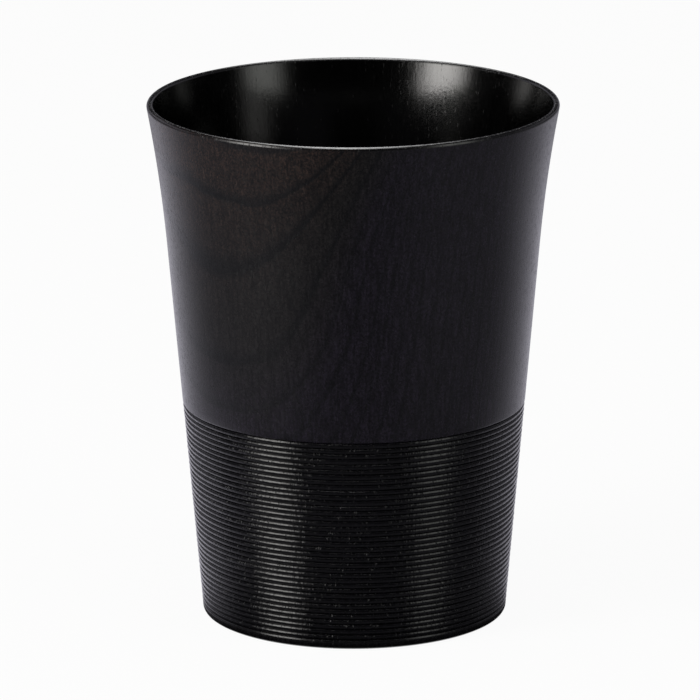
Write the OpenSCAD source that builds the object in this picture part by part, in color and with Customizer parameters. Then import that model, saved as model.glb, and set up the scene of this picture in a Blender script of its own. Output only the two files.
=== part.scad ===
// Turned wooden cup with a flared lip, a band of fine turned ribs and a black lacquer finish.
// Millimetres, +Z up. The origin is the middle of the foot, on the table.
// Every piece is a ring or a bowl on one axis, revolved from its own half section.
// The lacquer lies on the wood, so each coat and the wood follow one outline.

/* [Cup] */
// Outer diameter at the lip
rim_d = 82; // [76:0.5:88]
// Height from the table to the top of the lip
cup_h = 104.5; // [96:0.5:112]
// Diameter of the straight wall where its line meets the table
foot_d = 60.8; // [56:0.2:66]
// Height of the flared part under the lip
flare_h = 28.5; // [22:0.5:34]
// How far the lip stands out past the line of the straight wall
flare_out = 1.3; // [1:0.05:2.5]

/* [Wall and floor] */
// Thickness of the finished wall at the lip
lip_t = 1.3; // [1.1:0.1:2]
// Thickness of the finished wall at the floor
wall_t = 3.2; // [2.4:0.1:4.2]
// Height of the finished floor over the table
floor_z = 8; // [6:0.5:12]
// Radius between the inside wall and the floor
floor_fillet = 12; // [6:0.5:16]

/* [Turned ribs] */
// Number of ribs in the band
rib_count = 38; // [30:1:44]
// Height of one rib, from groove to groove
rib_pitch = 1.085; // [0.9:0.005:1.2]
// Depth of the grooves between the ribs
rib_depth = 0.34; // [0.2:0.02:0.4]

/* [Foot] */
// Radius of the edge round the foot
foot_round = 1.2; // [0.6:0.1:2]
// Height of the plain band between that edge and the lowest groove's own round
foot_band_h = 0.3; // [0.1:0.1:3]
// Width of the ring that the cup stands on
foot_ring_w = 6; // [4:0.5:9]
// Depth of the hollow inside the foot ring
recess_depth = 1.5; // [0.8:0.1:2.5]
// Width of the slope into the hollow
recess_slope_w = 2.5; // [1.5:0.5:5]

/* [Lacquer] */
// Thickness of the lacquer coats
coat_t = 0.2; // [0.15:0.01:0.3]
// Thickness of the bond between the lacquer and the wood
bond_t = 0.01; // [0.005:0.005:0.03]

/* [Hidden] */
$fn = 120;

// Points on the round stretches of the half section
rib_steps = 6;
flare_steps = 14;
lip_steps = 12;
edge_steps = 6;
fillet_steps = 12;

// Straight wall: its lean from upright
wall_lean = atan((rim_d / 2 - flare_out - foot_d / 2) / cup_h);

// Lip: a full round, with its centre in the middle of the wall
lip_r = lip_t / 2;
lip_c = [rim_d / 2 - lip_r, cup_h - lip_r];

// Flare: an arc that leaves the straight wall smoothly and ends square to the lip
flare_z = cup_h - flare_h;
wall_out = [cos(wall_lean), -sin(wall_lean)];
waist = [foot_d / 2 + flare_z * tan(wall_lean), flare_z] - lip_r * wall_out;
waist_to_lip = lip_c - waist;
mid_flare_r = (waist_to_lip * waist_to_lip) / (2 * waist_to_lip * wall_out);
flare_c = waist + mid_flare_r * wall_out;
lip_lean = asin((lip_c[1] - flare_c[1]) / mid_flare_r);
flare_r = mid_flare_r - lip_r;

// Inside wall: a line from the floor that runs smoothly into the same flare
inner_flare_r = mid_flare_r + lip_r;
floor_corner = [foot_d / 2 + floor_z * tan(wall_lean) - wall_t / cos(wall_lean), floor_z];
corner_to_flare = flare_c - floor_corner;
inner_lean = 90 - atan2(corner_to_flare[1], corner_to_flare[0])
    - asin(inner_flare_r / norm(corner_to_flare));
fillet_c = [
    floor_corner[0] + floor_fillet * (tan(inner_lean) - 1 / cos(inner_lean)),
    floor_z + floor_fillet
];

// Ribs: arcs that stand flush with the wall and meet in sharp grooves
rib_r = (rib_depth * rib_depth + rib_pitch * rib_pitch / 4) / (2 * rib_depth);
rib_half = asin(rib_pitch / 2 / rib_r);
low_groove_z = foot_round + foot_band_h + rib_pitch / 2;
top_groove_z = low_groove_z + rib_count * rib_pitch;

// Foot: the centre of its rounded edge, and the inner edge of its ring
foot_edge_c = [
    foot_d / 2 + foot_round * (tan(wall_lean) - 1 / cos(wall_lean)),
    foot_round
];
ring_inner_r = foot_d / 2 - foot_ring_w;

// The wood lies this far under the finished surface
wood_skin = coat_t + bond_t;

function reversed(v) = [for (i = [len(v) - 1 : -1 : 0]) v[i]];
function tail(v) = [for (i = [1 : len(v) - 1]) v[i]];

// Points of an arc about c from angle a0 to a1
function arc(c, r, a0, a1, steps) =
    [for (i = [0 : steps]) let (a = a0 + (a1 - a0) * i / steps) c + r * [cos(a), sin(a)]];

// Radius of the straight wall at height z, less a skin taken off square to it
function wall_r(z, skin) = foot_d / 2 + z * tan(wall_lean) - skin / cos(wall_lean);

// Points of a rib with its crest at height z, from angle a0 to a1 across its arc
function rib(z, a0, a1, steps, skin) = [
    for (i = [0 : steps])
        let (a = a0 + (a1 - a0) * i / steps, rib_z = z + rib_r * sin(a))
            [wall_r(rib_z, skin) - rib_r * (1 - cos(a)), rib_z]
];

// The outline of the cup in stretches, from under the foot round to the inside floor.
// A skin of 0 gives the finished surface, coat_t the back of the lacquer and wood_skin the wood.
function underside(skin) = [
    [0, recess_depth + skin],
    [ring_inner_r - recess_slope_w, recess_depth + skin],
    [ring_inner_r, skin],
    [foot_edge_c[0], skin]
];
function foot_edge(skin) = arc(foot_edge_c, foot_round - skin, -90, -wall_lean, edge_steps);
function foot_band(skin) = rib(low_groove_z - rib_pitch / 2, 0, rib_half, rib_steps / 2, skin);
function ribs(skin) = concat(
    rib(low_groove_z + rib_pitch / 2, -rib_half, rib_half, rib_steps, skin),
    [
        for (i = [1 : rib_count - 1])
            each tail(rib(low_groove_z + (i + 0.5) * rib_pitch, -rib_half, rib_half, rib_steps, skin))
    ]
);
function wall_end(skin) = rib(top_groove_z + rib_pitch / 2, -rib_half, 0, rib_steps / 2, skin);
function flare(skin) = arc(flare_c, flare_r + skin, 180 - wall_lean, 180 - lip_lean, flare_steps);
function lip(skin) = arc(lip_c, lip_r - skin, -lip_lean, 180 - lip_lean, lip_steps);
function inner_flare(skin) =
    arc(flare_c, inner_flare_r - skin, 180 - lip_lean, 180 - inner_lean, flare_steps);
function inner_floor(skin) =
    concat(arc(fillet_c, floor_fillet + skin, -inner_lean, -90, fillet_steps), [[0, floor_z - skin]]);

function foot_side(skin) = concat(underside(skin), tail(foot_edge(skin)), foot_band(skin));
function smooth_side(skin) = concat(wall_end(skin), flare(skin));
function inside(skin) = concat(inner_flare(skin), inner_floor(skin));

// A coat: the ring between its finished face and its back
module coat(face, back) {
    rotate_extrude() polygon(concat(face, reversed(back)));
}

// The cup as it comes off the lathe, with its ribs, before any lacquer
module turned_wood_body() {
    color("#8a5a33")
        rotate_extrude()
            polygon(concat(
                foot_side(wood_skin),
                tail(ribs(wood_skin)),
                tail(smooth_side(wood_skin)),
                tail(lip(wood_skin)),
                tail(inside(wood_skin))
            ));
}

// Gloss coat on the inside wall and the floor
module inner_lacquer_coat() {
    color("#0b0a0a") coat(inside(0), inside(coat_t));
}

// Coat over the rounded lip
module rim_lacquer_coat() {
    color("#3a3634") coat(lip(0), lip(coat_t));
}

// Satin coat on the smooth flared wall, down to the top groove
module outer_lacquer_coat() {
    color("#1f1c1b") coat(smooth_side(0), smooth_side(coat_t));
}

// Coat that follows every rib and groove of the band
module ribbed_lacquer_coat() {
    color("#2b2726") coat(ribs(0), ribs(coat_t));
}

// Coat on the foot: its band, rounded edge, ring and hollow
module foot_lacquer_coat() {
    color("#141211") coat(foot_side(0), foot_side(coat_t));
}

turned_wood_body();
inner_lacquer_coat();
rim_lacquer_coat();
outer_lacquer_coat();
ribbed_lacquer_coat();
foot_lacquer_coat();
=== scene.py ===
import math
import random

import bmesh
import bpy
from mathutils import Matrix, Quaternion, Vector, noise


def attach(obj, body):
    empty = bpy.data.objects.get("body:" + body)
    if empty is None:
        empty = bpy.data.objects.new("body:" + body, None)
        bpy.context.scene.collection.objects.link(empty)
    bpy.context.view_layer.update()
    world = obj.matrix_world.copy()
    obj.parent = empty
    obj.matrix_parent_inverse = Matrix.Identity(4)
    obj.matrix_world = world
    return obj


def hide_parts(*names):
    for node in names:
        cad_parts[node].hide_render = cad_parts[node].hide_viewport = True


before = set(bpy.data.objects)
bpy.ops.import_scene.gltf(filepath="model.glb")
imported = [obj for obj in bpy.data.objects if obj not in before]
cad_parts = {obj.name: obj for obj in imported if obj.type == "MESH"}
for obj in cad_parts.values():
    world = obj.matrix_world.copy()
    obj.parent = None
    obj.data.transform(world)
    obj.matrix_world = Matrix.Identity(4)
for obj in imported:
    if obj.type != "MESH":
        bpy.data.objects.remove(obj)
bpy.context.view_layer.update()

perMetre = 1000.0  # millimetres

# The turned form, in millimetres, the same as the solids
cupForm = {
    "rimDiameter": 82.0,
    "height": 104.5,
    "footDiameter": 60.8,
    "flareHeight": 28.5,
    "flareOut": 1.3,
    "lipThick": 1.3,
    "wallThick": 3.2,
    "floorHeight": 8.0,
    "floorFillet": 12.0,
    "ribCount": 38,
    "ribPitch": 1.085,
    "ribDepth": 0.34,
    "footRound": 1.2,
    "footBand": 0.3,
    "footRing": 6.0,
    "recessDepth": 1.5,
    "recessSlope": 2.5,
    "coatThick": 0.2,
    "turns": 192,  # points round the cup
    "onAxis": 1e-6,  # a ring smaller than this is one point
}


def formLines(form):
    rimRadius = form["rimDiameter"] / 2
    footRadius = form["footDiameter"] / 2
    lean = math.atan((rimRadius - form["flareOut"] - footRadius) / form["height"])
    lipRadius = form["lipThick"] / 2
    lipCentre = Vector((rimRadius - lipRadius, form["height"] - lipRadius))
    waistHeight = form["height"] - form["flareHeight"]
    outward = Vector((math.cos(lean), -math.sin(lean)))
    waist = Vector((footRadius + waistHeight * math.tan(lean), waistHeight)) - lipRadius * outward
    toLip = lipCentre - waist
    middleRadius = toLip.dot(toLip) / (2 * toLip.dot(outward))
    flareCentre = waist + middleRadius * outward
    lipLean = math.asin((lipCentre.y - flareCentre.y) / middleRadius)
    corner = Vector((
        footRadius + form["floorHeight"] * math.tan(lean) - form["wallThick"] / math.cos(lean),
        form["floorHeight"],
    ))
    toFlare = flareCentre - corner
    innerLean = (math.pi / 2 - math.atan2(toFlare.y, toFlare.x)
                 - math.asin((middleRadius + lipRadius) / toFlare.length))
    fillet = form["floorFillet"]
    ribRadius = (form["ribDepth"] ** 2 + form["ribPitch"] ** 2 / 4) / (2 * form["ribDepth"])
    lowGroove = form["footRound"] + form["footBand"] + form["ribPitch"] / 2
    return {
        "lean": lean,
        "lipRadius": lipRadius,
        "lipCentre": lipCentre,
        "lipLean": lipLean,
        "flareCentre": flareCentre,
        "flareRadius": middleRadius - lipRadius,
        "innerFlareRadius": middleRadius + lipRadius,
        "innerLean": innerLean,
        "filletCentre": Vector((
            corner.x + fillet * (math.tan(innerLean) - 1 / math.cos(innerLean)),
            form["floorHeight"] + fillet,
        )),
        "ribHalf": math.asin(form["ribPitch"] / 2 / ribRadius),
        "lowGroove": lowGroove,
        "topGroove": lowGroove + form["ribCount"] * form["ribPitch"],
        "edgeCentre": Vector((
            footRadius + form["footRound"] * (math.tan(lean) - 1 / math.cos(lean)),
            form["footRound"],
        )),
        "ringInner": footRadius - form["footRing"],
    }


lines = formLines(cupForm)


def arcPoints(centre, radius, start, end, steps):
    angles = [start + (end - start) * i / steps for i in range(steps + 1)]
    return [(centre.x + radius * math.cos(a), centre.y + radius * math.sin(a)) for a in angles]


def straightPoints(start, end, steps):
    return [(start[0] + (end[0] - start[0]) * i / steps, start[1] + (end[1] - start[1]) * i / steps)
            for i in range(steps + 1)]


def wallRadius(z, skin):
    lean = lines["lean"]
    return cupForm["footDiameter"] / 2 + z * math.tan(lean) - skin / math.cos(lean)


# One rib of the lathe tool: crest height, half height, depth of the grooves under and over it
def ribPoints(crest, half, depths, start, end, steps, skin):
    full = lines["ribHalf"]
    points = []
    for i in range(steps + 1):
        a = full * (start + (end - start) * i / steps)
        z = crest + half * math.sin(a) / math.sin(full)
        depth = depths[0] if a < 0 else depths[1]
        points.append((wallRadius(z, skin) - depth * (1 - math.cos(a)) / (1 - math.cos(full)), z))
    return points


# Where a coat lies on its map: the face in strips, and the hidden back in a low band over them
mapLayout = {
    "margin": 0.004,
    "backShare": 0.03,
    "backStart": 0.2,  # shares of that band
    "backTall": 0.7,
    "edgeRun": 0.001,  # the narrow edge of the coat
}


# Length along a half section, as shares of the whole
def runShares(points):
    run = [0.0]
    for a, b in zip(points, points[1:]):
        run.append(run[-1] + math.dist(a, b))
    return [r / run[-1] for r in run]


# Turns a half section round the cup's axis. The strips make a texel about square.
def turnCoat(name, look, face, back, wobble=None):
    turns = cupForm["turns"]
    section = [(p, True) for p in face] + [(p, False) for p in reversed(back)]
    mesh = bpy.data.meshes.new(name)
    bm = bmesh.new()
    rings = []
    for (radius, z), shown in section:
        if radius < cupForm["onAxis"]:
            rings.append([bm.verts.new((0, 0, z / perMetre))])
            continue
        ring = []
        for t in range(turns):
            angle = 2 * math.pi * t / turns
            r = radius + (wobble(angle, z) if wobble and shown else 0)
            spot = (r * math.sin(angle), r * math.cos(angle), z)
            ring.append(bm.verts.new([length / perMetre for length in spot]))
        rings.append(ring)

    heights = [("face", r) for r in runShares(face)]
    heights += [("back", r) for r in reversed(runShares(back))]
    strips, perStrip = look["strips"], turns // look["strips"]
    margin, backShare = mapLayout["margin"], mapLayout["backShare"]
    uvLayer = bm.loops.layers.uv.new("OFBake")

    def mapPoint(side, run, t, strip):
        u = margin + (1 - 2 * margin) * (t - strip * perStrip) / perStrip
        if side == "face":
            tall = (1 - backShare) / strips
            return u, strip * tall + margin + (tall - 2 * margin) * run
        wide = 1.0 / strips
        low = 1 - backShare + mapLayout["backStart"] * backShare
        return strip * wide + wide * u, low + mapLayout["backTall"] * backShare * run

    count = len(rings)
    for i in range(count):
        j = (i + 1) % count
        low, high = rings[i], rings[j]
        if len(low) == 1 and len(high) == 1:
            continue
        sideLow, runLow = heights[i]
        sideHigh, runHigh = heights[j]
        if sideLow != sideHigh:
            runHigh = runLow + mapLayout["edgeRun"]
        for t in range(turns):
            n = (t + 1) % turns
            strip = t // perStrip
            corners = [(low[t % len(low)], t, runLow), (low[n % len(low)], t + 1, runLow),
                       (high[n % len(high)], t + 1, runHigh), (high[t % len(high)], t, runHigh)]
            if len(low) == 1:
                corners = [(low[0], t + 0.5, runLow), corners[2], corners[3]]
            elif len(high) == 1:
                corners = [corners[0], corners[1], (high[0], t + 0.5, runHigh)]
            made = bm.faces.new([c[0] for c in corners])
            made.smooth = True
            for loop, (vert, turn, run) in zip(made.loops, corners):
                loop[uvLayer].uv = mapPoint(sideLow, run, turn, strip)
    bmesh.ops.recalc_face_normals(bm, faces=bm.faces)

    # Grooves and the coat's own edges stay crisp
    for edge in bm.edges:
        if len(edge.link_faces) == 2 and edge.calc_face_angle(0) > look["crease"]:
            edge.smooth = False
    bm.to_mesh(mesh)
    bm.free()
    piece = bpy.data.objects.new(name, mesh)
    bpy.context.collection.objects.link(piece)
    print("turned", name, len(mesh.vertices), "points")
    return piece


# Small helpers for the finishes
plainWhite = (1, 1, 1, 1)
surfaceIor = 1.5  # of lacquer and of sealed wood


def newFinish(name):
    material = bpy.data.materials.new(name)
    material.use_nodes = True
    material.node_tree.nodes.clear()
    return material, material.node_tree


def put(tree, kind, values=None, **settings):
    made = tree.nodes.new(kind)
    for key, value in settings.items():
        setattr(made, key, value)
    for key, value in (values or {}).items():
        if isinstance(value, bpy.types.NodeSocket):
            tree.links.new(value, made.inputs[key])
        else:
            made.inputs[key].default_value = value
    return made


def objectPlace(tree):
    return put(tree, "ShaderNodeTexCoord").outputs["Object"]


def calc(tree, operation, *values):
    return put(tree, "ShaderNodeMath", dict(enumerate(values)), operation=operation).outputs[0]


def vectorCalc(tree, operation, *values):
    made = put(tree, "ShaderNodeVectorMath", dict(enumerate(values)), operation=operation)
    return made.outputs[0]


def scaled(tree, vector, amount):
    made = put(tree, "ShaderNodeVectorMath", {0: vector, "Scale": amount}, operation="SCALE")
    return made.outputs[0]


def dotWith(tree, vector, direction):
    made = put(tree, "ShaderNodeVectorMath", {0: vector, 1: direction}, operation="DOT_PRODUCT")
    return made.outputs["Value"]


def ramp(tree, value, start, end, low=0.0, high=1.0):
    return put(tree, "ShaderNodeMapRange", {0: value, 1: start, 2: end, 3: low, 4: high},
               interpolation_type="SMOOTHSTEP").outputs[0]


def blend(tree, amount, low, high):
    return put(tree, "ShaderNodeMix", {0: amount, 2: low, 3: high}, data_type="FLOAT").outputs[0]


def mixColour(tree, amount, first, second):
    made = put(tree, "ShaderNodeMix", {0: amount, 6: first, 7: second}, data_type="RGBA")
    return made.outputs[2]


def toned(tree, colour, tone):
    grey = put(tree, "ShaderNodeCombineXYZ", {0: tone, 1: tone, 2: tone}).outputs[0]
    return vectorCalc(tree, "MULTIPLY", colour, grey)


def cloud(tree, vector, scale, detail=2.0, rough=0.5, output="Fac"):
    return put(tree, "ShaderNodeTexNoise", {
        "Vector": vector, "Scale": scale, "Detail": detail, "Roughness": rough,
    }).outputs[output]


def bumped(tree, look, level):
    return put(tree, "ShaderNodeBump", {
        "Strength": look["relief"], "Distance": look["reliefDepth"], "Height": level,
    }).outputs[0]


# How the block of wood lay on the lathe, in millimetres: its rings are oval, and their middle lies
# off the cup, behind and to the right. It runs aslant and bends with the height.
woodBlock = {
    "pith": (82.86, 66.3, 0.0),
    "pithHeight": 70.0,
    "slantOver": 100.0,  # height over which the pith moves by these
    "pithSlant": (-3.19, -3.08, 0.0),
    "pithBend": (-10.37, -4.78, 0.0),
    "ovalTurn": math.radians(-51.47),
    "ovalPress": 0.5178,
    "years": (33.53, 65.93, 66.93, 68.33, 69.23, 70.23, 70.97, 71.7,  # distances in the oval
              72.12, 72.711, 73.152, 73.581, 74.088, 74.421, 77.9),
    "yearCounts": (-39, -12, -11, -10, -9, -8, -7, -6, -5, -4, -3, -2, -1, 0, 8),
    "bandMiddle": 0.13,
    "earlyFull": 0.08,  # the open-pored band, in shares of a year
    "earlyEbb": 0.1,
    "earlyEnd": 0.34,
    "yearPlay": 0.2,  # how far the years differ in strength
    "boldPlaces": ((65.5, 67.0), (71.2, 72.4), (73.3, 73.9)),  # where they get fainter or stronger
    "boldShares": (0.75, 0.38, 0.55, 1.0),
    "boldSide": (-14.0, -27.0),  # they are strong on this side of the cup
    "boldMost": 1.1,
    "bark": (72.7, 73.9),  # outward from here the wood is plainer brown
    "warm": (73.75, 74.7),  # and then warmer
    "wander": 0.11,
    "wanderSize": 0.08,
    "fibre": {"size": (2.1, 2.1, 0.12), "detail": 3.0, "rough": 0.6},
    "fleck": {"size": (3.0, 3.0, 2.3), "detail": 2.0, "rough": 0.55},
    "chatter": {"size": (1.4, 1.4, 1.1), "detail": 3.0, "rough": 0.5},
    "broadSize": 0.05,
    "poreSize": (2.9, 2.9, 0.5),
    "poreScatter": 0.95,
    "poreEdge": (0.2, 0.44),
    "poreFew": 0.06,  # share of open pores in the late wood
    "poreMore": 0.58,  # and added to it in the open-pored band
}


def woodFigure(tree):
    block = woodBlock
    mm = scaled(tree, objectPlace(tree), perMetre)
    spot = put(tree, "ShaderNodeSeparateXYZ", {0: mm}).outputs
    wander = cloud(tree, mm, block["wanderSize"], output="Color")
    wander = vectorCalc(tree, "SUBTRACT", wander, (0.5, 0.5, 0.5))
    wander = scaled(tree, wander, 2 * block["wander"])

    # Distance from the slanting, bent pith
    perSlant = 1 / block["slantOver"]
    rise = calc(tree, "MULTIPLY_ADD", spot["Z"], perSlant, -perSlant * block["pithHeight"])
    slant = scaled(tree, block["pithSlant"], rise)
    bend = scaled(tree, block["pithBend"], calc(tree, "MULTIPLY", rise, rise))
    pith = vectorCalc(tree, "ADD", vectorCalc(tree, "ADD", slant, bend), block["pith"])
    fromPith = vectorCalc(tree, "SUBTRACT", vectorCalc(tree, "ADD", mm, wander), pith)
    turn, press = block["ovalTurn"], block["ovalPress"]
    along = dotWith(tree, fromPith, (math.cos(turn), math.sin(turn), 0))
    across = dotWith(tree, fromPith, (-press * math.sin(turn), press * math.cos(turn), 0))
    distance = calc(tree, "SQRT", calc(tree, "ADD", calc(tree, "MULTIPLY", along, along),
                                       calc(tree, "MULTIPLY", across, across)))

    # Years by distance: slow and quick ones
    years, counts = block["years"], block["yearCounts"]
    straight = put(tree, "ShaderNodeMapRange", {0: distance, 1: years[0], 2: years[-1]}).outputs[0]
    growth = put(tree, "ShaderNodeFloatCurve", {"Factor": 1.0, "Value": straight})
    reach, span = years[-1] - years[0], counts[-1] - counts[0]
    line = growth.mapping.curves[0]
    while len(line.points) < len(years):
        line.points.new(0.5, 0.5)  # put in its place below
    for point, yearAt, count in zip(line.points, years, counts):
        point.location = ((yearAt - years[0]) / reach, (count - counts[0]) / span)
        point.handle_type = "VECTOR"
    growth.mapping.update()
    ring = calc(tree, "MULTIPLY_ADD", growth.outputs[0], span, counts[0] + block["bandMiddle"])
    year, part = calc(tree, "FLOOR", ring), calc(tree, "FRACT", ring)
    chance = put(tree, "ShaderNodeTexWhiteNoise", {"W": year}, noise_dimensions="1D").outputs
    strong = calc(tree, "MULTIPLY_ADD", chance["Value"], block["yearPlay"], 1 - block["yearPlay"])

    # The years stand out more in some stretches, and all of them on one side
    places, shares = block["boldPlaces"], block["boldShares"]
    bold = ramp(tree, distance, *places[0], *shares[:2])
    for k in (1, 2):
        more = ramp(tree, distance, *places[k], 0.0, shares[k + 1] - shares[k])
        bold = calc(tree, "ADD", bold, more)
    side = ramp(tree, spot["X"], *block["boldSide"], 0.0, block["boldMost"])
    strong = calc(tree, "MULTIPLY", strong, calc(tree, "MAXIMUM", bold, side))
    porous = calc(tree, "MULTIPLY", ramp(tree, part, 0.0, block["earlyFull"]),
                  ramp(tree, part, block["earlyEbb"], block["earlyEnd"], 1.0, 0.0))
    early = calc(tree, "MULTIPLY", porous, strong)

    def figure(kind):
        stretched = vectorCalc(tree, "MULTIPLY", mm, kind["size"])
        return cloud(tree, stretched, 1.0, kind["detail"], kind["rough"])

    cells = put(tree, "ShaderNodeTexVoronoi", {
        "Vector": vectorCalc(tree, "MULTIPLY", mm, block["poreSize"]),
        "Scale": 1.0, "Randomness": block["poreScatter"],
    }).outputs
    pick = put(tree, "ShaderNodeSeparateColor", {0: cells["Color"]}).outputs[0]
    share = calc(tree, "MULTIPLY_ADD", porous, block["poreMore"], block["poreFew"])
    pore = calc(tree, "MULTIPLY", ramp(tree, cells["Distance"], *block["poreEdge"], 1.0, 0.0),
                calc(tree, "LESS_THAN", pick, share))
    return {
        "early": early,
        "pore": pore,
        "fibre": figure(block["fibre"]),
        "fleck": figure(block["fleck"]),
        "chatter": figure(block["chatter"]),
        "broad": cloud(tree, mm, block["broadSize"]),
        "bark": ramp(tree, distance, *block["bark"]),
        "warm": ramp(tree, distance, *block["warm"]),
    }


# How the wiped film takes the wood, for all the coats: stretches of the figure and their tones
wipedFilm = {
    "fleckStretch": (0.36, 0.66),
    "betweenFlecks": 0.25,  # of the warm colour
    "earlyHides": 0.9,  # of the warm colour in the open-pored band
    "fibreStretch": (0.3, 0.72),
    "fibreTones": (0.5, 1.5),
    "speckStretch": (0.3, 0.7),
    "speckTones": (0.3, 1.7),
    "poreCover": 0.85,
    "patchStretch": (0.5, 0.62),
}


# Wiped lacquer: the grain shows through a thin black film and the pores stay open
def lacquerFinish(name, look):
    material, tree = newFinish(name)
    wood, film = woodFigure(tree), wipedFilm

    between = film["betweenFlecks"]
    flecks = ramp(tree, wood["fleck"], *film["fleckStretch"])
    flecks = calc(tree, "MULTIPLY_ADD", flecks, 1 - between, between)
    amount = calc(tree, "MULTIPLY", wood["warm"], flecks)
    showing = calc(tree, "MULTIPLY_ADD", wood["early"], -film["earlyHides"], 1.0)
    amount = calc(tree, "MULTIPLY", amount, showing)
    amount = calc(tree, "MULTIPLY", amount, look["grainShow"])
    streak = ramp(tree, wood["fibre"], *film["fibreStretch"], *film["fibreTones"])
    speck = ramp(tree, wood["fleck"], *film["speckStretch"], *film["speckTones"])
    colour = mixColour(tree, wood["bark"], look["film"], look["barkFilm"])
    colour = mixColour(tree, wood["early"], colour, look["earlyFilm"])
    colour = mixColour(tree, amount, colour, look["warmWood"])
    colour = toned(tree, colour, calc(tree, "MULTIPLY", streak, speck))
    cover = calc(tree, "MULTIPLY", wood["pore"], film["poreCover"])
    colour = mixColour(tree, cover, colour, look["poreShade"])

    patch = ramp(tree, wood["chatter"], *film["patchStretch"])
    smooth = look["gloss"] - look["smudge"] / 2
    rough = calc(tree, "MULTIPLY_ADD", wood["broad"], look["smudge"], smooth)
    rough = calc(tree, "MULTIPLY_ADD", wood["fibre"], look["fibreRough"], rough)
    rough = calc(tree, "MULTIPLY_ADD", wood["pore"], look["poreRough"], rough)
    rough = calc(tree, "MULTIPLY_ADD", patch, look["patchRough"], rough)

    level = calc(tree, "MULTIPLY", wood["fibre"], look["fibreRelief"])
    level = calc(tree, "MULTIPLY_ADD", wood["pore"], -look["poreSink"], level)
    level = calc(tree, "MULTIPLY_ADD", wood["early"], -look["earlySink"], level)
    level = calc(tree, "MULTIPLY_ADD", wood["chatter"], look["chatter"], level)

    shader = put(tree, "ShaderNodeBsdfPrincipled", {
        "Base Color": colour, "Roughness": rough, "Normal": bumped(tree, look, level),
        "IOR": surfaceIor, "Specular IOR Level": look["shine"],
    })
    if look["sideSpread"]:  # the fibres run up the wall and spread the shine to the sides
        shader.inputs["Anisotropic"].default_value = look["sideSpread"]
        tangent = put(tree, "ShaderNodeTangent", direction_type="RADIAL", axis="Z")
        tree.links.new(tangent.outputs[0], shader.inputs["Tangent"])
    put(tree, "ShaderNodeOutputMaterial", {"Surface": shader.outputs[0]})
    material.diffuse_color = look["film"]
    print("finish", name, len(tree.nodes), "nodes")
    return material


def dress(piece, material, node):
    piece.data.materials.append(material)
    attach(piece, "root")
    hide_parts(node)


# Gloss coat inside
innerCoat = {
    "strips": 2,
    "crease": math.radians(40),
    "flareSteps": 22,
    "wallSteps": 30,
    "filletSteps": 18,
    "floorSteps": 6,
    "film": (0.0003, 0.0003, 0.0003, 1),
    "barkFilm": (0.0003, 0.0003, 0.0003, 1),
    "earlyFilm": (0.0002, 0.0002, 0.0002, 1),
    "warmWood": (0.001, 0.0008, 0.0007, 1),
    "poreShade": (0.0002, 0.0002, 0.0002, 1),
    "grainShow": 0.4,
    "gloss": 0.1,  # roughness before the grain adds to it
    "shine": 0.85,
    "sideSpread": 0.3,
    "smudge": 0.03,
    "fibreRough": 0.1,
    "poreRough": 0.12,
    "patchRough": 0.0,
    "fibreRelief": 0.6,
    "poreSink": 0.1,
    "earlySink": 0.15,
    "chatter": 0.8,
    "relief": 0.3,
    "reliefDepth": 0.00004,
}


def insideFace(skin, look):
    flare = arcPoints(lines["flareCentre"], lines["innerFlareRadius"] - skin,
                      math.pi - lines["lipLean"], math.pi - lines["innerLean"], look["flareSteps"])
    fillet = arcPoints(lines["filletCentre"], cupForm["floorFillet"] + skin,
                       -lines["innerLean"], -math.pi / 2, look["filletSteps"])
    wall = straightPoints(flare[-1], fillet[0], look["wallSteps"])
    floor = straightPoints(fillet[-1], (0.0, cupForm["floorHeight"] - skin), look["floorSteps"])
    return flare + wall[1:-1] + fillet + floor[1:]


inner = turnCoat("inner_gloss_coat", innerCoat, insideFace(0, innerCoat),
                 insideFace(cupForm["coatThick"], innerCoat))
dress(inner, lacquerFinish("gloss black inside", innerCoat),
      "inner_lacquer_coat")


# Coat over the rounded lip
lipCoat = {
    "strips": 8,
    "crease": math.radians(40),
    "steps": 16,
    "film": (0.0010, 0.0009, 0.0010, 1),
    "barkFilm": (0.0010, 0.0009, 0.0009, 1),
    "earlyFilm": (0.0005, 0.0005, 0.0006, 1),
    "warmWood": (0.008, 0.004, 0.003, 1),
    "poreShade": (0.0005, 0.0004, 0.0004, 1),
    "grainShow": 0.8,
    "gloss": 0.17,
    "shine": 0.7,
    "sideSpread": 0.0,
    "smudge": 0.04,
    "fibreRough": 0.04,
    "poreRough": 0.3,
    "patchRough": 0.1,
    "fibreRelief": 0.3,
    "poreSink": 1.0,
    "earlySink": 0.2,
    "chatter": 0.5,
    "relief": 0.5,
    "reliefDepth": 0.00003,
}


def lipFace(skin, look):
    return arcPoints(lines["lipCentre"], lines["lipRadius"] - skin, -lines["lipLean"],
                     math.pi - lines["lipLean"], look["steps"])


lip = turnCoat("lip_coat", lipCoat, lipFace(0, lipCoat), lipFace(cupForm["coatThick"], lipCoat))
dress(lip, lacquerFinish("lacquer on the lip", lipCoat), "rim_lacquer_coat")


# Satin coat on the smooth flared wall
wallCoat = {
    "strips": 2,
    "crease": math.radians(40),
    "endSteps": 5,
    "wallSteps": 26,
    "flareSteps": 24,
    "film": (0.0056, 0.0042, 0.0080, 1),
    "barkFilm": (0.0052, 0.0045, 0.0044, 1),
    "earlyFilm": (0.0006, 0.0010, 0.0015, 1),
    "warmWood": (0.0150, 0.0082, 0.0060, 1),
    "poreShade": (0.0008, 0.0007, 0.0008, 1),
    "grainShow": 0.9,
    "gloss": 0.23,
    "shine": 0.5,
    "sideSpread": 0.0,
    "smudge": 0.05,
    "fibreRough": 0.06,
    "poreRough": 0.1,
    "patchRough": 0.06,
    "fibreRelief": 0.3,
    "poreSink": 1.0,
    "earlySink": 0.25,
    "chatter": 0.4,
    "relief": 0.3,
    "reliefDepth": 0.00003,
}


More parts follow.
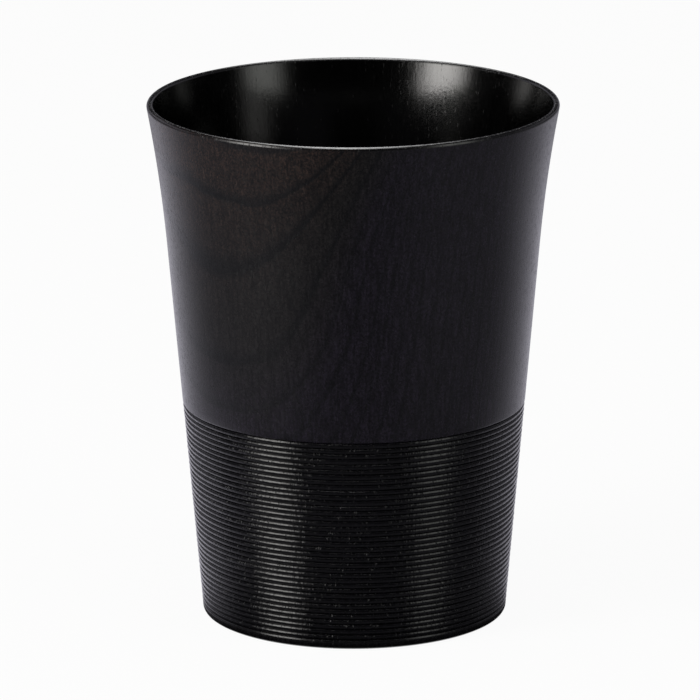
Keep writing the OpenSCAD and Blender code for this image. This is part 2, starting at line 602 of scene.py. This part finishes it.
def wallFace(skin, look):
    half, depth = cupForm["ribPitch"] / 2, cupForm["ribDepth"]
    crest = lines["topGroove"] + half
    end = ribPoints(crest, half, (depth, depth), -1, 0, look["endSteps"], skin)
    flare = arcPoints(lines["flareCentre"], lines["flareRadius"] + skin,
                      math.pi - lines["lean"], math.pi - lines["lipLean"], look["flareSteps"])
    wall = straightPoints(end[-1], flare[0], look["wallSteps"])
    return end + wall[1:-1] + flare


wall = turnCoat("smooth_wall_coat", wallCoat, wallFace(0, wallCoat),
                wallFace(cupForm["coatThick"], wallCoat))
dress(wall, lacquerFinish("satin wiped lacquer", wallCoat),
      "outer_lacquer_coat")


# Coat on the turned ribs: each rib is a little different, as from a hand-held tool
ribCoat = {
    "strips": 2,
    "crease": math.radians(50),
    "faceSteps": 8,
    "backSteps": 4,
    "backThick": 0.17,
    "seed": 11,
    "pitchPlay": 0.045,
    "depthPlay": 0.12,
    "wobble": 0.03,
    "wobbleTurns": 9.0,
    "wobbleRise": 0.9,
    "trueEnd": 0.05,  # this near to the end grooves nothing wobbles
    "film": (0.0015, 0.0014, 0.0019, 1),
    "barkFilm": (0.0017, 0.0016, 0.0018, 1),
    "earlyFilm": (0.0009, 0.0009, 0.0012, 1),
    "warmWood": (0.008, 0.005, 0.004, 1),
    "poreShade": (0.0006, 0.0006, 0.0006, 1),
    "grainShow": 0.6,
    "gloss": 0.06,
    "shine": 0.5,
    "sideSpread": 0.0,
    "smudge": 0.04,
    "fibreRough": 0.06,
    "poreRough": 0.25,
    "patchRough": 0.16,
    "fibreRelief": 0.8,
    "poreSink": 1.0,
    "earlySink": 0.3,
    "chatter": 1.7,
    "relief": 0.7,
    "reliefDepth": 0.00005,
}


def ribFace(look):
    draw = random.Random(look["seed"])
    pitch, count = cupForm["ribPitch"], cupForm["ribCount"]
    grooves, depths = [], []
    for i in range(count + 1):
        ends = i in (0, count)
        shift = 0 if ends else draw.uniform(-1, 1) * look["pitchPlay"]
        deeper = 0 if ends else draw.uniform(-1, 1) * look["depthPlay"]
        grooves.append(lines["lowGroove"] + pitch * (i + shift))
        depths.append(cupForm["ribDepth"] * (1 + deeper))
    points = []
    for i in range(count):
        crest, half = (grooves[i] + grooves[i + 1]) / 2, (grooves[i + 1] - grooves[i]) / 2
        rib = ribPoints(crest, half, (depths[i], depths[i + 1]), -1, 1, look["faceSteps"], 0)
        points += rib if not points else rib[1:]
    return points


def ribBack(look):
    half, depth = cupForm["ribPitch"] / 2, cupForm["ribDepth"]
    points = []
    for i in range(cupForm["ribCount"]):
        crest = lines["lowGroove"] + (i + 0.5) * cupForm["ribPitch"]
        rib = ribPoints(crest, half, (depth, depth), -1, 1, look["backSteps"], look["backThick"])
        points += rib if not points else rib[1:]
    return points


def ribWobble(angle, z):
    end = ribCoat["trueEnd"]
    if z < lines["lowGroove"] + end or z > lines["topGroove"] - end:
        return 0.0
    turns = ribCoat["wobbleTurns"]
    spot = Vector((turns * math.sin(angle), turns * math.cos(angle), ribCoat["wobbleRise"] * z))
    return ribCoat["wobble"] * noise.noise(spot)


ribs = turnCoat("ribbed_coat", ribCoat, ribFace(ribCoat), ribBack(ribCoat), ribWobble)
dress(ribs, lacquerFinish("lacquer on the ribs", ribCoat),
      "ribbed_lacquer_coat")


# Coat on the foot: plain band, rounded edge, standing ring and the hollow with its tool marks
footCoat = {
    "strips": 2,
    "crease": math.radians(50),
    "bandSteps": 4,
    "edgeSteps": 8,
    "ringSteps": 5,
    "slopeSteps": 6,
    "hollowSteps": 60,
    "toolMark": 0.025,
    "toolPitch": 1.1,
    "toolFade": 2.0,  # the marks die out over this much at both ends
    "film": (0.0024, 0.0022, 0.0027, 1),
    "barkFilm": (0.0025, 0.0023, 0.0025, 1),
    "earlyFilm": (0.0010, 0.0010, 0.0013, 1),
    "warmWood": (0.010, 0.006, 0.0045, 1),
    "poreShade": (0.001, 0.0009, 0.0009, 1),
    "grainShow": 0.7,
    "gloss": 0.14,
    "shine": 0.5,
    "sideSpread": 0.0,
    "smudge": 0.05,
    "fibreRough": 0.08,
    "poreRough": 0.2,
    "patchRough": 0.1,
    "fibreRelief": 0.3,
    "poreSink": 1.0,
    "earlySink": 0.2,
    "chatter": 0.8,
    "relief": 0.5,
    "reliefDepth": 0.00003,
}


def footFace(skin, look, marks):
    half, depth = cupForm["ribPitch"] / 2, cupForm["ribDepth"]
    inner, slope = lines["ringInner"], cupForm["recessSlope"]
    top, fadeOver = cupForm["recessDepth"] + skin, look["toolFade"]
    hollow = []
    for r, z in straightPoints((0.0, top), (inner - slope, top), look["hollowSteps"]):
        fade = max(min(1.0, r / fadeOver, (inner - slope - r) / fadeOver), 0)
        wave = 0.5 - 0.5 * math.cos(2 * math.pi * r / look["toolPitch"])
        hollow.append((r, z + marks * look["toolMark"] * fade * wave))
    side = straightPoints((inner - slope, top), (inner, skin), look["slopeSteps"])
    ring = straightPoints((inner, skin), (lines["edgeCentre"].x, skin), look["ringSteps"])
    edge = arcPoints(lines["edgeCentre"], cupForm["footRound"] - skin,
                     -math.pi / 2, -lines["lean"], look["edgeSteps"])
    crest = lines["lowGroove"] - half
    band = ribPoints(crest, half, (depth, depth), 0, 1, look["bandSteps"], skin)
    return hollow + side[1:] + ring[1:] + edge[1:] + band


foot = turnCoat("foot_coat", footCoat, footFace(0, footCoat, 1),
                footFace(cupForm["coatThick"], footCoat, 0))
dress(foot, lacquerFinish("lacquer under the foot", footCoat),
      "foot_lacquer_coat")


# The wood under the lacquer keeps its solid and gets its own grain
bareWood = {
    "late": (0.36, 0.19, 0.085, 1),
    "early": (0.20, 0.095, 0.042, 1),
    "poreShade": (0.07, 0.03, 0.015, 1),
    "fibreStretch": (0.3, 0.72),
    "fibreTones": (0.75, 1.2),
    "rough": 0.55,
    "fibreRough": 0.2,
    "fibreRelief": 0.3,
    "shine": 0.4,
    "relief": 0.5,
    "reliefDepth": 0.00004,
}


def bareWoodFinish(look):
    material, tree = newFinish("turned zelkova")
    wood = woodFigure(tree)
    colour = mixColour(tree, wood["early"], look["late"], look["early"])
    streak = ramp(tree, wood["fibre"], *look["fibreStretch"], *look["fibreTones"])
    colour = mixColour(tree, wood["pore"], toned(tree, colour, streak), look["poreShade"])
    smooth = look["rough"] - look["fibreRough"] / 2
    rough = calc(tree, "MULTIPLY_ADD", wood["fibre"], look["fibreRough"], smooth)
    level = calc(tree, "MULTIPLY", wood["fibre"], look["fibreRelief"])
    level = calc(tree, "SUBTRACT", level, wood["pore"])
    shader = put(tree, "ShaderNodeBsdfPrincipled", {
        "Base Color": colour, "Roughness": rough, "Normal": bumped(tree, look, level),
        "IOR": surfaceIor, "Specular IOR Level": look["shine"],
    })
    put(tree, "ShaderNodeOutputMaterial", {"Surface": shader.outputs[0]})
    return material


woodMaterial = bareWoodFinish(bareWood)
woodBody = bpy.data.objects["turned_wood_body"]
for i in range(len(woodBody.material_slots)):
    woodBody.material_slots[i].material = woodMaterial
print("wood under the lacquer dressed")


# Studio: a white floor and sky, and glowing sheets and cards that only the cup's gloss can see,
# which paint reflections and cast no light
def seenRays(tree):
    path = put(tree, "ShaderNodeLightPath")
    seen = calc(tree, "MAXIMUM", path.outputs["Is Camera Ray"], path.outputs["Is Glossy Ray"])
    return calc(tree, "MAXIMUM", seen, path.outputs["Is Transmission Ray"])


def addStage(name, points, faces, material):
    mesh = bpy.data.meshes.new(name)
    mesh.from_pydata(points, [], faces)
    mesh.materials.append(material)
    thing = bpy.data.objects.new(name, mesh)
    bpy.context.collection.objects.link(thing)
    return thing


def flatStage(name, sides, ends, height, material):
    (left, right), (front, back) = sides, ends
    corners = [(left, front, height), (right, front, height),
               (right, back, height), (left, back, height)]
    return addStage(name, corners, [(0, 1, 2, 3)], material)


floorLook = {
    "half": 2.0,
    "white": 0.94,  # share that is plain white, the rest takes the shadow
    "colour": (0.86, 0.86, 0.86),
    "paperSize": 6.0,
    "paperDetail": 3.0,
    "paperStretch": (0.2, 0.8),
    "paperTones": (0.985, 1.0),
    "paperRough": 0.5,
}


def floorFinish(look):
    material, tree = newFinish("white floor")
    paper = cloud(tree, objectPlace(tree), look["paperSize"], look["paperDetail"])
    tone = ramp(tree, paper, *look["paperStretch"], *look["paperTones"])
    dull = put(tree, "ShaderNodeBsdfDiffuse", {
        "Color": toned(tree, look["colour"], tone), "Roughness": look["paperRough"],
    })
    bright = put(tree, "ShaderNodeEmission", {"Color": plainWhite, "Strength": 1.0})
    share = calc(tree, "MULTIPLY", seenRays(tree), look["white"])
    mixed = put(tree, "ShaderNodeMixShader", {0: share, 1: dull.outputs[0], 2: bright.outputs[0]})
    put(tree, "ShaderNodeOutputMaterial", {"Surface": mixed.outputs[0]})
    return material


floorReach = (-floorLook["half"], floorLook["half"])
flatStage("floor", floorReach, floorReach, 0, floorFinish(floorLook))

paintedReflectionColour = (0.985, 0.96, 1.085, 1)


# Glow of a sheet that only the gloss sees: a painted reflection, it casts no light
def paintedReflectionFinish(name, glow, look, colour=paintedReflectionColour):
    material, tree = newFinish(name)
    shine = put(tree, "ShaderNodeEmission", {"Color": colour, "Strength": glow(tree, look)})
    put(tree, "ShaderNodeOutputMaterial", {"Surface": shine.outputs[0]})
    return material


def unevenGlow(tree, place, look):
    tone = cloud(tree, place, look["unevenSize"])
    low = (1 - look["uneven"] / 2) * look["glow"]
    return calc(tree, "MULTIPLY_ADD", tone, look["uneven"] * look["glow"], low)


def onlyInGloss(thing):
    thing.visible_camera = False
    thing.visible_diffuse = False
    thing.visible_transmission = False
    thing.visible_volume_scatter = False
    thing.visible_shadow = False


# Glowing tent over the table, seen only in the gloss: painted reflections of a dim studio, darker
# low down
tent = {
    "radius": 1.9,
    "across": 64,
    "up": 16,
    "glow": 0.065,
    "uneven": 0.4,
    "unevenSize": 1.5,
    "lowShare": 0.04,  # of that glow
    "lowEnds": (0.45, 0.85),
}


def tentGlow(tree, look):
    place = objectPlace(tree)
    height = put(tree, "ShaderNodeSeparateXYZ", {0: place}).outputs["Z"]
    share = ramp(tree, height, *look["lowEnds"], look["lowShare"], 1.0)
    return calc(tree, "MULTIPLY", unevenGlow(tree, place, look), share)


def tentMesh(look):
    radius, across, rows = look["radius"], look["across"], look["up"]
    points, faces = [], []
    for j in range(rows):
        up = math.pi / 2 * j / rows
        for i in range(across):
            turn = 2 * math.pi * i / across
            points.append((radius * math.sin(turn) * math.cos(up),
                           -radius * math.cos(turn) * math.cos(up), radius * math.sin(up)))
    points.append((0, 0, radius))
    last = (rows - 1) * across
    for i in range(across):
        n = (i + 1) % across
        for j in range(rows - 1):
            a, b = j * across, (j + 1) * across
            faces.append((a + i, a + n, b + n, b + i))
        faces.append((last + i, last + n, rows * across))
    return points, faces


onlyInGloss(addStage("painted_reflection_tent", *tentMesh(tent), paintedReflectionFinish("painted reflection tent", tentGlow, tent)))

# Glowing mat on the floor, seen only in the gloss: a painted reflection of the floor's uneven
# light, dim before the cup, paler beside and behind it, and a painted shadow close to the foot.
# Ways to the side and the back run from -1 to 1, and distances from the cup are in metres.
matLook = {
    "half": 1.5,
    "lift": 0.0004,
    "left": 0.22,
    "leftEnds": (-0.85, -0.1),
    "middle": 0.10,
    "right": 0.165,
    "rightEnds": (0.1, 0.8),
    "sideEnds": (-0.3, 0.3),
    "backLeft": 0.96,
    "backRight": 0.82,
    "backEnds": (0.0, 1.05),
    "rest": 0.3,  # farther behind
    "restEnds": (0.28, 0.45),
    "near": 0.11,  # close to the cup, before it
    "closeLeft": 0.88,  # and beside and behind it
    "closeLeftEnds": (-0.65, 0.35),
    "closeRight": 0.62,
    "closeRightEnds": (-0.3, 0.5),
    "closeEnds": (0.08, 0.17),
    # painted shadow of the cup on the floor, as the gloss sees it
    "paintedFootShadowShare": 0.1,
    "paintedFootShadowEnds": (0.030, 0.037),
}


def paintedMatGlow(tree, look):
    place = objectPlace(tree)
    parts = put(tree, "ShaderNodeSeparateXYZ", {0: place}).outputs
    far = put(tree, "ShaderNodeVectorMath", {0: place}, operation="LENGTH").outputs["Value"]
    toSide = calc(tree, "DIVIDE", parts["X"], far)
    toBack = calc(tree, "DIVIDE", parts["Y"], far)
    left = ramp(tree, toSide, *look["leftEnds"], look["left"] - look["middle"], 0.0)
    right = ramp(tree, toSide, *look["rightEnds"], 0.0, look["right"] - look["middle"])
    front = calc(tree, "ADD", calc(tree, "ADD", left, right), look["middle"])
    toRight = ramp(tree, toSide, *look["sideEnds"])
    back = blend(tree, toRight, look["backLeft"], look["backRight"])
    back = blend(tree, ramp(tree, far, *look["restEnds"]), back, look["rest"])
    away = blend(tree, ramp(tree, toBack, *look["backEnds"]), front, back)
    closeLeft = ramp(tree, toBack, *look["closeLeftEnds"], look["near"], look["closeLeft"])
    closeRight = ramp(tree, toBack, *look["closeRightEnds"], look["near"], look["closeRight"])
    close = blend(tree, toRight, closeLeft, closeRight)
    glow = blend(tree, ramp(tree, far, *look["closeEnds"]), close, away)
    # painted shadow close to the foot
    return calc(tree, "MULTIPLY", glow, ramp(tree, far, *look["paintedFootShadowEnds"], look["paintedFootShadowShare"], 1.0))


matReach = (-matLook["half"], matLook["half"])
onlyInGloss(flatStage("painted_reflection_mat", matReach, matReach, matLook["lift"],
                      paintedReflectionFinish("painted reflection mat", paintedMatGlow, matLook)))

# Glowing cards beside and behind the cup, seen only in the gloss: painted reflections. Turns from
# the camera's side and heights in degrees
cardSet = {"far": 1.1, "steps": 12, "uneven": 0.2, "unevenSize": 2.0}
cards = {
    "left_reflection_card": {"from": -152, "to": -104, "low": 10, "top": 30, "glow": 0.42},
    "left_side_reflection_card": {"from": -104, "to": -76, "low": 14, "top": 50, "glow": 0.13},
    "right_side_reflection_card": {"from": 68, "to": 104, "low": 14, "top": 50, "glow": 0.11},
    "right_reflection_card": {"from": 104, "to": 152, "low": 10, "top": 30, "glow": 0.23},
    "back_reflection_card": {"from": 152, "to": 208, "low": 0, "top": 14, "glow": 0.25},
}


def cardGlow(tree, look):
    return unevenGlow(tree, objectPlace(tree), look)


def cardMesh(look):
    far, steps = look["far"], look["steps"]
    points, faces = [], []
    for i in range(steps + 1):
        turn = math.radians(look["from"] + (look["to"] - look["from"]) * i / steps)
        for up in (look["low"], look["top"]):
            height = far * math.tan(math.radians(up))
            points.append((far * math.sin(turn), -far * math.cos(turn), height))
        if i:
            faces.append((2 * i - 2, 2 * i, 2 * i + 1, 2 * i - 1))
    return points, faces


for name, place in cards.items():
    look = {**cardSet, **place}
    material = paintedReflectionFinish(name.replace("_", " "), cardGlow, look)
    onlyInGloss(addStage(name, *cardMesh(look), material))

# Bright glowing card overhead, seen only in the gloss: it paints the highlight on the lip. It runs
# from over the front to well behind the cup, fading to its sides
topHighlightCard = {
    "height": 1.0,
    "ends": (-0.42, 1.15),
    "sides": (-0.42, 0.42),
    "glow": 7.3,
    "uneven": 0.2,
    "unevenSize": 2.0,
    "middle": -0.05,  # where it is brightest
    "fade": 0.41,
}


def topHighlightGlow(tree, look):
    place = objectPlace(tree)
    across = put(tree, "ShaderNodeSeparateXYZ", {0: place}).outputs["X"]
    off = calc(tree, "ABSOLUTE", calc(tree, "SUBTRACT", across, look["middle"]))
    fade = ramp(tree, off, 0.0, look["fade"], 1.0, 0.0)
    return calc(tree, "MULTIPLY", unevenGlow(tree, place, look), fade)


onlyInGloss(flatStage("top_highlight_card", topHighlightCard["sides"], topHighlightCard["ends"], topHighlightCard["height"],
                      paintedReflectionFinish("top highlight card", topHighlightGlow, topHighlightCard, plainWhite)))

# White sky, which lights the cup softly
softLight = 0.45
world = bpy.data.worlds.new("studio")
bpy.context.scene.world = world
world.use_nodes = True
tree = world.node_tree
tree.nodes.clear()
level = calc(tree, "MULTIPLY_ADD", seenRays(tree), 1 - softLight, softLight)
sky = put(tree, "ShaderNodeBackground", {"Color": plainWhite, "Strength": level})
put(tree, "ShaderNodeOutputWorld", {"Surface": sky.outputs[0]})
print("studio set")


# Tall softboxes that lean outward: turn in degrees from the camera's side, sizes in metres,
# glow as the gloss shows it
softboxes = {
    "left_softbox": {
        "turn": -59,
        "roll": 12,
        "far": 0.7,
        "wide": 0.53,
        "tall": 0.8,
        "glow": 3.6,
        "lowShare": 1.35,  # of that glow in the lower part
        "colour": (1.0, 0.98, 0.95),
    },
    "right_softbox": {
        "turn": 58.5,
        "roll": -10,
        "far": 0.7,
        "wide": 0.46,
        "tall": 0.8,
        "glow": 1.08,
        "lowShare": 0.92,
        "colour": (0.99, 1.0, 0.95),
    },
}
boxFade = {"core": 0.15, "lowEnds": (0.2, 0.6)}  # shares of the half width and of the height
wattsPerGlow = 4  # for a square metre


# Brightest along the middle of the box, and fading to its sides
def boxGlow(lamp, look):
    lamp.use_nodes = True
    tree = lamp.node_tree
    tree.nodes.clear()
    place = put(tree, "ShaderNodeNewGeometry").outputs["Parametric"]
    spot = put(tree, "ShaderNodeSeparateXYZ", {0: place}).outputs
    off = calc(tree, "ABSOLUTE", calc(tree, "MULTIPLY_ADD", spot["X"], 2.0, -1.0))
    glow = calc(tree, "MULTIPLY", ramp(tree, off, boxFade["core"], 1.0, 1.0, 0.0),
                ramp(tree, spot["Y"], *boxFade["lowEnds"], look["lowShare"], 1.0))
    shine = put(tree, "ShaderNodeEmission", {"Color": plainWhite, "Strength": glow})
    put(tree, "ShaderNodeOutputLight", {"Surface": shine.outputs[0]})


for name, look in softboxes.items():
    turn = math.radians(look["turn"])
    lamp = bpy.data.lights.new(name, "AREA")
    lamp.shape = "RECTANGLE"
    lamp.size, lamp.size_y = look["wide"], look["tall"]
    lamp.energy = wattsPerGlow * look["wide"] * look["tall"] * look["glow"]
    lamp.color = look["colour"]
    boxGlow(lamp, look)
    box = bpy.data.objects.new(name, lamp)
    away = Vector((math.sin(turn), -math.cos(turn), 0))
    box.location = look["far"] * away + Vector((0, 0, look["tall"] / 2))
    roll = Quaternion((0, 0, 1), math.radians(look["roll"]))
    box.rotation_euler = (away.to_track_quat("Z", "Y") @ roll).to_euler()
    box.visible_camera = False
    bpy.context.collection.objects.link(box)
print("lamps set")


# Camera at the photograph's angle
cameraLook = {
    "back": 1.4798,
    "height": 0.4405,
    "pitch": 14.656,
    "yaw": 0.0292,
    "roll": 0.1613,
    "lens": 393.25,
    "sensor": 36.0,
    "nearest": 0.05,
    "farthest": 20,
}
cameraData = bpy.data.cameras.new("camera")
cameraData.sensor_fit = "HORIZONTAL"
cameraData.sensor_width = cameraLook["sensor"]
cameraData.lens = cameraLook["lens"]
cameraData.clip_start = cameraLook["nearest"]
cameraData.clip_end = cameraLook["farthest"]
camera = bpy.data.objects.new("camera", cameraData)
bpy.context.collection.objects.link(camera)
turned = (Matrix.Rotation(math.radians(cameraLook["yaw"]), 4, "Z")
          @ Matrix.Rotation(math.radians(90 - cameraLook["pitch"]), 4, "X")
          @ Matrix.Rotation(math.radians(-cameraLook["roll"]), 4, "Z"))
camera.matrix_world = Matrix.Translation((0, -cameraLook["back"], cameraLook["height"])) @ turned
bpy.context.scene.camera = camera
bpy.context.scene.view_settings.view_transform = "Standard"
